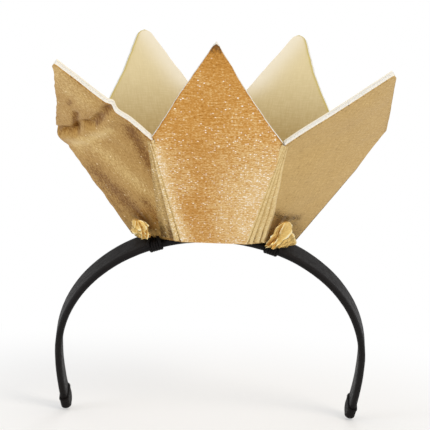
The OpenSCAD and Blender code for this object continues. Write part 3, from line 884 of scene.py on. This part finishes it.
def dress_pleats(petal):
    node = f"{petal}_seam_pleats"
    skin, low, high = skins[petal], *on_petal(petal, node)
    points, side = node_points(node), SEAM_SIDES[petal][0]
    wide = np.ptp(petal_frame(skin, points[points[:, 2] < points[:, 2].min() + PLEAT_FOOT])[:, 0])
    rings, cloth, marked, unfolded = [], [], [], []
    for v in np.linspace(low[1], shoulder, PLEAT_ROWS):
        middle, normal = cloth_row(skin, v)
        edge, spots = pleat_row(petal, v, low[1], wide, high[2] - PLEAT_GAP)
        dark = PLEAT_SHADE[petal] + (HEM_SHADE - PLEAT_SHADE[petal]) * soft_step((HEM_FROM - v) / HEM_OVER)
        top, under = [], []
        for u, off, height in spots:
            base = middle + skin.across * u
            lift = swell(petal, u, v) + PLEAT_GAP if side * u < side * edge else PLEAT_GAP
            top.append(base + normal * (lift + off))
            under.append(base + normal * (lift - 0.5 * PLEAT_GAP + min(off - PLEAT_GAP, 0.0)))
            # painted shade in the valleys and on the underside, painted highlight on the crests
            deep = soft_step((VALLEY_TOP - height) / VALLEY_TOP)
            marked.append((deep * dark, CREST_LIT * (1 - deep)))
        marked += [UNDERSIDE] * len(spots)
        cloth += [(u, v) for u, _, _ in spots + spots[::-1]]
        rings += top + under[::-1]
        unfolded.append(sum(float(np.linalg.norm(b - a)) for a, b in zip(top, top[1:])))
    faces = rings_to_faces(PLEAT_ROWS, 2 * len(spots), strips=True)
    piece = add_piece(f"{petal}_pleats", rings, faces, node, "gold_lame", PLEAT_LAME[petal], cloth, marked)
    return piece


for petal in ("left", "right"):
    print("made", dress_pleats(petal).name)

# %% [markdown]
# ### Bunches where the petals are tied down
# Low on each side petal the lame is drawn together and tied to the band. The left bunch is a short tuft, and the right
# one spreads like a fan toward the band. Even ribs would look like a shell, so the folds come from ridged noise: where
# smooth noise crosses zero, its size has a sharp turn, and that turn is the crest of a fold.

# %% Folds of a bunch
BUNCH_FOLDS = [(1.5, 1.2, 0.34), (2.4, 3.6, 0.16), (5.0, 7.0, 0.05)]     # folds round, folds along, depth
BUNCH_CORE = 0.44                                                        # share of the radius under the folds
FOLD_SHARPNESS = 2.4


def fold_height(turn, t, seed):
    """Height of the folds at a turn round the bunch and a share t of its length."""
    height = 0.0
    for i, (around, along, depth) in enumerate(BUNCH_FOLDS):
        spot = Vector((around * math.cos(turn), around * math.sin(turn), along * t + seed + 7 * i))
        height += (1 - min(abs(noise.noise(spot)) * FOLD_SHARPNESS, 1.0)) * depth
    return height


# bunched: the brightest gold on the crown, shiny folds, painted highlights on crests, painted ochre shade in valleys
bunch_lame = lame("gold_lame_bunched", ("#c29a50", "#e0bc70", "#f7e1a4", "#fff8dc"), (1.0, 1.0), 0.5, 0.4,
                  soil_and_shade="#b0863a", shine=0.65, rough=0.34)
print("highest fold:", BUNCH_CORE + sum(depth for _, _, depth in BUNCH_FOLDS))

# %% Bunch pieces
BUNCH_ROWS, BUNCH_POINTS = 56, 168
BUNCH_SPREAD = {"left": (0.85, 0.95), "right": (1.12, 0.72)}          # share of the width at the band and higher up
BUNCH_LEAN = {"left": (2.0, 3.0), "right": (-1.6, -6.4)}              # mm to one side at the band and at the top
BUNCH_FOOT = {"left": 2.2 * MM, "right": 0.0}                         # how far up the ribbon hides the cloth
BUNCH_TOP = {"left": 2.0 * MM, "right": 4.8 * MM}                     # loose cloth that stands above the solid
CLOTH_ROUND = 4 * MM                                                  # cloth for each radian round the bunch
SPREAD_END, DOME_FROM, DOME_OVER = 0.55, 0.5, 0.52                    # shares of the length: spread, closing dome
TWIST, WAVER = 0.9, 0.3                                               # how folds turn on the way up, and waver
# painted shade in the bunch's valleys and at its foot, and a painted highlight on its crests
VALLEY_DARK, FOOT_DARK = (0.3, 0.2), (0.2, 0.15)                      # how dark, and up to what height
CREST_FROM, CREST_OVER = 0.34, 0.14                                   # fold heights with a painted highlight


def dress_bunch(petal):
    node = f"{petal}_gather"
    skin, low, high = skins[petal], *on_petal(petal, node)
    middle, (wide, _, deep) = (low + high) / 2, (high - low) / 2
    foot, seed = low[1] + BUNCH_FOOT[petal], SEEDS[petal]
    rings, cloth, marked = [], [], []
    for t in np.linspace(0, 1, BUNCH_ROWS):
        v = foot + (high[1] + BUNCH_TOP[petal] - foot) * t
        base, normal = cloth_row(skin, v)
        (at_band, higher), (low_lean, top_lean) = BUNCH_SPREAD[petal], BUNCH_LEAN[petal]
        share = at_band + (higher - at_band) * soft_step(t / SPREAD_END)
        share *= math.sqrt(max(1 - max((t - DOME_FROM) / DOME_OVER, 0.0) ** 2, 0.02))
        lean = (low_lean + (top_lean - low_lean) * soft_step(t)) * MM
        for k in range(BUNCH_POINTS):
            turn = 2 * math.pi * k / BUNCH_POINTS
            height = fold_height(turn + TWIST * t + WAVER * math.sin(2 * turn + seed), t, seed)
            radius = share * (BUNCH_CORE + height)
            u = middle[0] + lean + wide * radius * math.cos(turn)
            off = max(middle[2] + deep * radius * math.sin(turn), low[2] + 0.02 * MM)
            rings.append(base + skin.across * u + normal * off)
            cloth.append((turn * CLOTH_ROUND, v))
            # painted shade in the valleys and at the foot, painted highlight on the crests
            shade = sum(dark * soft_step((top - at) / top)
                        for (dark, top), at in ((VALLEY_DARK, height), (FOOT_DARK, t)))
            marked.append((shade, soft_step((height - CREST_FROM) / CREST_OVER)))
    faces = rings_to_faces(BUNCH_ROWS, BUNCH_POINTS)
    return add_piece(f"{petal}_bunch", rings, faces, node, "gold_lame", bunch_lame, cloth, marked)


for petal in ("left", "right"):
    print("made", dress_bunch(petal).name)

# %% [markdown]
# ## Headband
# A springy plastic strip is covered with black satin ribbon. Its path is an arch with a flatter leg at each end, all
# raked backwards. A Blender curve with a bevel would follow that path, but the cover, caps and lashings have to sit on
# one another to a tenth of a millimetre. So one function gives the band's place at any length from its top, and every
# piece is drawn from it.

# %% The band's path
ARCH_RADIUS, LEG_RADIUS = 66.5 * MM, 170 * MM
QUARTER = ARCH_RADIUS * math.pi / 2     # length from the top to the start of a leg
LEG_LENGTH = 35 * MM                    # along the middle of a leg
RAKED = Matrix.Rotation(math.radians(29), 3, "X")
SIDEWAYS = RAKED @ Vector((0, 1, 0))


def band_place(length):
    """Middle of the inner face, outward direction and direction along the band, at a length from the top."""
    over = abs(length) - QUARTER
    if over <= 0:
        angle = length / ARCH_RADIUS
        out = Vector((math.sin(angle), 0, math.cos(angle)))
        spot = out * ARCH_RADIUS
    else:
        side, angle = math.copysign(1, length), over / LEG_RADIUS
        out = Vector((side * math.cos(angle), 0, -math.sin(angle)))
        spot = Vector((side * (ARCH_RADIUS - LEG_RADIUS), 0, 0)) + out * LEG_RADIUS
    return RAKED @ spot, RAKED @ out, RAKED @ Vector((out.z, 0, -out.x))


cover_points, sideways = node_points("band_cover"), np.array(SIDEWAYS)
BAND_W = float(np.ptp(cover_points @ sideways))
top_points = cover_points[np.abs(cover_points[:, 0]) < 8 * MM]
BAND_T = float(np.linalg.norm(top_points - np.outer(top_points @ sideways, sideways), axis=1).max()) - ARCH_RADIUS
print("band in mm: width", round(BAND_W / MM, 2), "thickness", round(BAND_T / MM, 2))

# %% Rings round the band
BAND_POINTS = 56


def stadium(width, thickness, share):
    """A point of a flat strip's outline with full round edges: sideways, outwards, and its normal."""
    flat, r = (width - thickness) / 2, thickness / 2
    arc = math.pi * r
    half, turn = divmod((share % 1.0) * (4 * flat + 2 * arc), 2 * flat + arc)
    sign = 1.0 if half == 0 else -1.0
    if turn < 2 * flat:
        return sign * (turn - flat), sign * r, 0.0, sign
    a = (turn - 2 * flat) / r
    return sign * (flat + r * math.sin(a)), sign * r * math.cos(a), sign * math.sin(a), sign * math.cos(a)


def outline_length(width, thickness):
    return 2 * (width - thickness) + math.pi * thickness


def band_ring(length, width, thickness, raised=lambda share, length: 0.0):
    """Points round the band at a length from the top, and their place on the ribbon."""
    spot, out, _ = band_place(length)
    middle, total = spot + out * (BAND_T / 2), outline_length(width, thickness)
    ring, cloth = [], []
    for share in np.arange(BAND_POINTS) / BAND_POINTS:
        x, y, nx, ny = stadium(width, thickness, share)
        extra = raised(share, length)
        ring.append(middle + SIDEWAYS * (x + nx * extra) + out * (y + ny * extra))
        cloth.append((total * share, length))
    return ring, cloth


print("ribbon round the band, in mm:", round(outline_length(BAND_W, BAND_T) / MM, 1))

# %% [markdown]
# ### Black ribbon
# The cover is woven satin ribbon with very fine ribs across it. The lashings and end caps are the same ribbon folded,
# and less smooth. Pure black would swallow every shape, so both are a very dark brown, with ribs and a little lint that
# break the light.

# %% Black materials
RIB_MM = 0.9                           # real ribs are near 0.3 mm; drawn three times coarser so that they show
WAVE_PER_UNIT = 20 / (2 * math.pi)     # ribs that the wave texture draws in one unit
RIB_SHARE = 0.35                       # of the tone; the rest is lint
LINT_MM = (1.3, 5.0)


def black_cloth(name, dark, light, rough, rib_depth):
    material, tree = new_material(name)
    rib_size = RIB_MM / WAVE_PER_UNIT
    rib = add(tree, "TexWave", on_cloth(tree, (rib_size, rib_size)), Scale=1.0, Distortion=0.6, Detail=1.0,
              wave_type="BANDS", bands_direction="Y", wave_profile="SIN").outputs["Fac"]
    lint = add(tree, "TexNoise", on_cloth(tree, LINT_MM), 1.0, 4.0, 0.65)
    tone = add(tree, "Math", rib, RIB_SHARE, add(tree, "Math", lint, 1 - RIB_SHARE, **TIMES), **TIMES_PLUS)
    share = add(tree, "MapRange", tone, *NOISE_RANGE, **SMOOTH)
    gloss = add(tree, "MapRange", lint, *NOISE_RANGE, rough - 0.06, rough + 0.08, **SMOOTH)
    bump = add(tree, "Bump", Height=tone, Strength=0.5, Distance=rib_depth)
    colour = add(tree, "Mix", share, linear(dark), linear(light), **MIX)
    add(tree, "OutputMaterial", add(tree, "BsdfPrincipled", Base_Color=colour, Roughness=gloss,
                                    Specular_IOR_Level=0.12, Normal=bump))
    return material


# woven satin: a soft grey sheen along the bends, and faint ribs
satin = black_cloth("black_satin_ribbon", "#090707", "#151110", 0.5, 0.12 * MM)
# folded ribbon: the same black, duller, with deeper ribs
ribbon = black_cloth("black_folded_ribbon", "#080606", "#130f0e", 0.6, 0.2 * MM)
print("black cloths:", satin.name, ribbon.name)

# %% [markdown]
# ### Satin cover
# The ribbon is folded round the core and its edge is glued down along the inside, which shows as one low step. It is
# slack by a few hundredths of a millimetre and puckers where the band bends. The core could be scaled up for it, but
# then it would have no edge. So it is a tube with an outer and an inner wall, and the outer one has step and puckers.

# %% A wall between two stacks of rings


def tube(outer, inner, close_end=False):
    """Points and faces of the wall; its far end is an open rim, or is closed on both sides."""
    rows, count = len(outer), len(outer[0])
    points = [p for ring in outer + inner for p in ring]
    base, top = rows * count, (rows - 1) * count
    faces = []
    for k in range(rows - 1):
        for i in range(count):
            j = (i + 1) % count
            a, b, c, d = k * count + i, k * count + j, (k + 1) * count + j, (k + 1) * count + i
            faces += [(a, b, c, d), (base + a, base + d, base + c, base + b)]
    for i in range(count):
        j = (i + 1) % count
        faces.append((j, i, base + i, base + j))
        if not close_end:
            faces.append((top + i, top + j, base + top + j, base + top + i))
    if close_end:
        end = range(top, top + count)
        faces += [tuple(end), tuple(base + i for i in end)[::-1]]
    return points, faces


print("a box without a lid has faces:", len(tube([[0] * 4] * 2, [[0] * 4] * 2, close_end=True)[1]))

# %% Cover piece
COVER_T, COVER_SLIP = 0.8 * MM, 0.1 * MM     # the wall, and how much wider it is than the core inside it
COVER_SHORT = 3 * MM                         # the ribbon ends inside the caps, before they close in
COVER_STEP = 1.2 * MM
FOLD_STEP, FOLD_FROM, FOLD_TO = 0.14 * MM, (0.66, 0.015), (0.82, 0.12)     # height, start and end round the band
SLACK, PUCKER = (0.05 * MM, 9 * MM, 4, 2.0), (0.03 * MM, 2.2 * MM, 9, 7.0)     # height, length, number, place
COVER_IN = 0.06 * MM                         # the cloth lies this much lower, so that no fold stands outside


def folded_edge(around, length):
    """The ribbon's folded edge on the inside, its slackness and fine puckers."""
    lift = FOLD_STEP * soft_step((around - FOLD_FROM[0]) / FOLD_FROM[1]) * soft_step((FOLD_TO[0] - around) / FOLD_TO[1])
    for height, size, number, place in (SLACK, PUCKER):
        lift += height * noise.noise(Vector((length / size, number * around, place)))
    return lift - COVER_IN


end_length = QUARTER + LEG_RADIUS * (LEG_LENGTH / (LEG_RADIUS + BAND_T / 2)) - 0.5 * MM
stations = np.linspace(COVER_SHORT - end_length, end_length - COVER_SHORT, int(2 * end_length / COVER_STEP))
thinner = 2 * COVER_T - COVER_SLIP
outer = [band_ring(length, BAND_W, BAND_T, folded_edge) for length in stations]
inner = [band_ring(length, BAND_W - thinner, BAND_T - thinner) for length in stations]
points, faces = tube([ring for ring, _ in outer], [ring for ring, _ in inner])
cloth = [place for _, places in outer + inner for place in places]
cover = add_piece("satin_cover", points, faces, "band_cover", "black_satin", satin, cloth)
print("cover rings:", len(stations))

# %% [markdown]
# ### End caps
# A short sleeve of doubled ribbon is drawn over each end, so that nothing sharp is left. It is rounded at the tip and
# has a rolled hem at its mouth. A bevelled box would be quicker, but the sleeve follows the band's curve, so it is made
# from the same rings, narrowed along an arc.

# %% Cap pieces
CAP_LENGTH, CAP_T = 8 * MM, 0.5 * MM
CAP_ARC = 0.62                            # radius of the round end as a share of the cap's width
CAP_THIN, CAP_THINNEST = 3 * MM, 0.45     # the tip grows thin over this length, down to this share
CAP_FIT = 0.03 * MM
CAP_HEM = (0.7 * MM, 0.5 * MM, 0.22 * MM)     # from the mouth, half width, height
CAP_ROWS = 30


def cap_ring(length, side, grow, end):
    """A ring of a cap; grow is how far outside the cover it is, and an arc takes off the corners of the tip."""
    width, thickness = BAND_W + 2 * grow, BAND_T + 2 * grow
    arc, left = CAP_ARC * (BAND_W + 2 * CAP_T) + grow - CAP_T, end - length
    if left < arc:
        width = min(width, 2 * math.sqrt(max(arc ** 2 - (arc - left) ** 2, 0.0)))
    near = max(1 - left / CAP_THIN, 0.0)
    thickness *= CAP_THINNEST + (1 - CAP_THINNEST) * math.sqrt(max(1 - near ** 4, 0.0))
    return band_ring(side * length, max(width, 1.05 * thickness), thickness)


def dress_cap(node, side):
    end = end_length + CAP_T
    mouth, steps = end - CAP_LENGTH, np.linspace(0, 1, CAP_ROWS)
    from_mouth, half, height = CAP_HEM
    outer = [cap_ring(mouth + CAP_LENGTH * t, side, CAP_T + height * bell(CAP_LENGTH * t - from_mouth, half), end)
             for t in steps]
    inner = [cap_ring(mouth + (CAP_LENGTH - CAP_T) * t, side, CAP_FIT, end - CAP_T) for t in steps]
    points, faces = tube([ring for ring, _ in outer], [ring for ring, _ in inner], close_end=True)
    cloth = [place for _, places in outer + inner for place in places]
    return add_piece(node.replace("end_cap", "cap"), points, faces, node, "black_satin", ribbon, cloth)


for node, side in (("left_end_cap", -1), ("right_end_cap", 1)):
    print("made", dress_cap(node, side).name)

# %% [markdown]
# ### Lashings
# Ribbon folded to a narrow strip is wound round the band under each bunch, turn beside turn, and then crossed over on
# the outside. Five plain rings would do from far away, but a winding climbs. So the strip follows a helix round the
# band's outline, and the crossing is two steeper strips on top of it.

# %% A strip wound round the band
LASH_SECTION, LASH_STEPS = 12, 44     # points round the strip, and rings in one turn
SQUARENESS = 0.6                      # 1 makes the strip's section an ellipse, less makes it flatter


def rounded(x):
    return math.copysign(abs(x) ** SQUARENESS, x)


def wound_strip(start, end, turns, width, thick, lift, first):
    """A flat strip wound round the band between two lengths: its points, their places on the ribbon, and faces."""
    steps = max(int(turns * LASH_STEPS), 12)
    points, cloth = [], []
    for share in np.arange(steps + 1) / steps:
        spot, out, along = band_place(start + (end - start) * share)
        x, y, nx, ny = stadium(BAND_W, BAND_T, first + turns * share)
        normal = SIDEWAYS * nx + out * ny
        sit = lift + thick / 2 + 0.05 * MM * noise.noise(Vector((5 * turns * share, first, 3.0)))
        base = spot + out * (BAND_T / 2) + SIDEWAYS * x + out * y + normal * sit
        for q in range(LASH_SECTION):
            turn = 2 * math.pi * q / LASH_SECTION
            wide, tall = rounded(math.cos(turn)) * width / 2, rounded(math.sin(turn)) * thick / 2
            points.append(base + along * wide + normal * tall)
            cloth.append((wide, turns * share * outline_length(BAND_W, BAND_T)))
    return points, cloth, rings_to_faces(steps + 1, LASH_SECTION)


print("rings in one turn:", LASH_STEPS)

# %% Lashing pieces
LASH_T, LASH_FIT = 0.75 * MM, 0.12 * MM
LASH_TURNS, LASH_SNUG, LASH_START = 5, 0.93, 0.55          # turns, their width in a pitch, start round the band
CROSS_W, CROSS_T = 1.25 * MM, 0.45 * MM
CROSS_LIFTS = (LASH_T + 0.16 * MM, LASH_T + 0.66 * MM)     # the second crossing lies on the first
CROSS_TURNS, CROSS_START, CROSS_INSET = 0.62, 0.94, 0.1


def dress_lashing(node):
    spots = node_points(node) @ np.array(RAKED)
    lengths = np.arctan2(spots[:, 0], spots[:, 2]) * ARCH_RADIUS
    low, high = lengths.min(), lengths.max()
    pitch, inset = (high - low) / LASH_TURNS, CROSS_INSET * (high - low)
    width = LASH_SNUG * pitch * (LASH_TURNS - 1) / LASH_TURNS
    strips = [wound_strip(low + pitch / 2, high - pitch / 2, LASH_TURNS - 0.1, width, LASH_T, LASH_FIT, LASH_START)]
    for start, end, lift in ((low + inset, high - inset, CROSS_LIFTS[0]), (high - inset, low + inset, CROSS_LIFTS[1])):
        strips.append(wound_strip(start, end, CROSS_TURNS, CROSS_W, CROSS_T, lift, CROSS_START))
    points, cloth, faces = [], [], []
    for more, places, joins in strips:
        faces += [tuple(len(points) + i for i in face) for face in joins]
        points += more
        cloth += places
    return add_piece(node.replace("lashing", "ties"), points, faces, node, "black_ribbon", ribbon, cloth)


for node in ("left_lashing", "right_lashing"):
    print("made", dress_lashing(node).name)

# %% [markdown]
# ### Inner tape
# A gold tape runs round the inside of the petals' bottom edge and holds them together; it is seen only from above and
# below. Its solid has sharp corners, and a ribbon has not. Blender's bevel would round them, but it can't make the
# upper edge wave. So the plan is walked in small steps, smoothed, and raised as a thin wall.

# %% The tape's two outlines
TAPE_POINTS, TAPE_SMOOTHINGS = 240, 4


def loop_through(corners):
    """Evenly spaced points round a closed outline with its corners softened, and its length."""
    closed = np.vstack([corners, corners[:1]])
    along = np.concatenate([[0.0], np.cumsum(np.linalg.norm(np.diff(closed, axis=0), axis=1))])
    spots = np.linspace(0, along[-1], TAPE_POINTS, endpoint=False)
    loop = np.stack([np.interp(spots, along, closed[:, i]) for i in range(2)], axis=1)
    for _ in range(TAPE_SMOOTHINGS):
        loop = (np.roll(loop, 1, axis=0) + 2 * loop + np.roll(loop, -1, axis=0)) / 4
    return loop, along[-1]


plan = np.unique(np.round(node_points("base_tape")[:, :2], 6), axis=0)
plan_middle = plan.mean(axis=0)
plan = plan[np.argsort(np.arctan2(*(plan - plan_middle).T[::-1]))]
corners = [sorted(pair, key=lambda p: np.linalg.norm(p - plan_middle)) for pair in plan.reshape(-1, 2, 2)]
loops = [loop_through(np.array([pair[k] for pair in corners])) for k in (1, 0)]
print("tape corners:", len(corners), "length in mm:", round(loops[0][1] / MM, 1))

# %% Tape piece
TAPE_ROWS = 9
TAPE_SOFT = 0.15 * MM     # how far its two edges are rounded in
TAPE_WAVE = 0.03          # share of its height by which the upper edge waves
tape_low, tape_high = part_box("base_tape")
walls, cloth = [], []
for (loop, total), nudge in zip(loops, (-1, 1)):
    rings = []
    for z in np.linspace(0, 1, TAPE_ROWS):
        ring = []
        for k, spot in enumerate(loop):
            toward = (spot - plan_middle) / np.linalg.norm(spot - plan_middle)
            x, y = spot + toward * TAPE_SOFT * abs(2 * z - 1) ** 4 * nudge
            wave = 1 - TAPE_WAVE + TAPE_WAVE * noise.noise(Vector((0.25 * k, 0, 4.0)))
            height = (tape_high.z - tape_low.z) * z * wave
            ring.append(Vector((x, y, tape_low.z + height)))
            cloth.append((total * k / TAPE_POINTS, height))
        rings.append(ring)
    walls.append(rings)
# woven ribbon: plain, duller gold than the petals, with a grain along its length
tape_lame = lame("gold_ribbon_tape", ("#9b7a44", "#bf9d62", "#d6b878", "#efd9a4"), (0.5, 1.6), 0.9)
print("made", add_piece("inner_tape", *tube(*walls), "base_tape", "gold_lame", tape_lame, cloth).name)

# %% [markdown]
# ### Core
# The spring inside the band is a moulded plastic strip. Its cover hides it, and a rigid moulding needs no softer shape,
# so it keeps its solid and only gets its material.

# %% Core's material
CORE_GRAIN_MM = 1.5
# moulded plastic: mid grey, with the faint cloudy gloss of a plain mould
core_plastic, tree = new_material("grey_moulded_plastic")
spot = add(tree, "VectorMath", add(tree, "NewGeometry"), Scale=1 / (CORE_GRAIN_MM * MM), operation="SCALE")
cloudy = add(tree, "TexNoise", spot, 1.0, 4.0, ROUGH)
share = add(tree, "MapRange", cloudy, *NOISE_RANGE, **SMOOTH)
colour = add(tree, "Mix", share, linear("#4d4e52"), linear("#5d5e62"), **MIX)
gloss = add(tree, "MapRange", cloudy, *NOISE_RANGE, 0.45, 0.6, **SMOOTH)
add(tree, "OutputMaterial", add(tree, "BsdfPrincipled", Base_Color=colour, Roughness=gloss))
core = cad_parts["band_core"]
core.data.materials.clear()
core.data.materials.append(core_plastic)
print("core keeps its solid, with", core_plastic.name)
